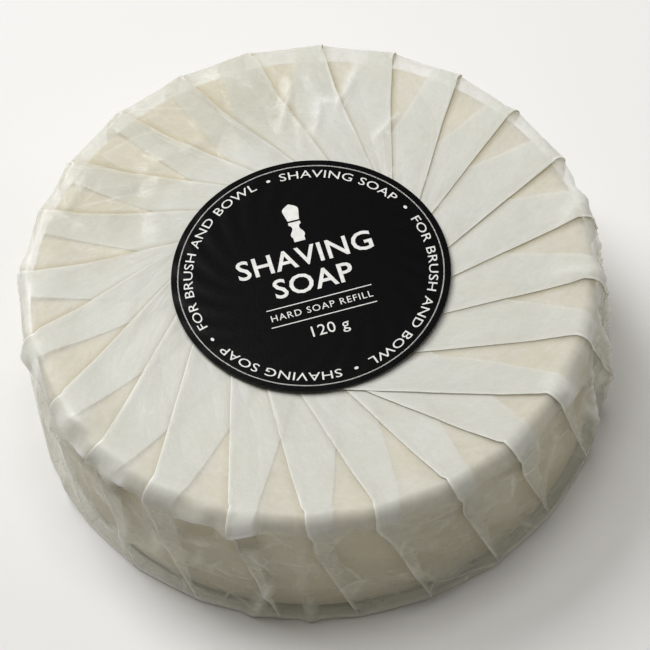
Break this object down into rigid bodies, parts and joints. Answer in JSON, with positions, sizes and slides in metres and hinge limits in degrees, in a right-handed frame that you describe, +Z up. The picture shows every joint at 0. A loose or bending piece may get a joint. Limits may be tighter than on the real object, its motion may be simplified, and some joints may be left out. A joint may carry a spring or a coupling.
{
  "type": "shaving soap puck",
  "caption": "Round cake of shaving soap wrapped in pleated translucent film, closed by a round adhesive label that peels up from the top.",
  "frame": {"origin": "centre of the underside, on the surface it stands on", "axes": "+Z up through the cake's axis; -Y towards the label's free front edge; the label peels about an axis along X at its rear edge"},
  "size_m": [0.082, 0.082, 0.0249],
  "materials": {
    "soap": "cream hard soap, smooth and slightly waxy",
    "film": "thin translucent wrapping film, glossy, whiter where pleats overlap",
    "label": "gloss black printed adhesive label with white print"
  },
  "bodies": {
    "wrapped_soap": {"soap_puck": "soap", "film_wrapper": "film"},
    "label": {"seal_label": "label"}
  },
  "joints": [
    {"name": "label_peel", "type": "hinge", "parent": "wrapped_soap", "child": "label", "pos_m": [0, 0.0194, 0.0246], "axis": [-1, 0, 0], "range_deg": [0, 150]}
  ]
}
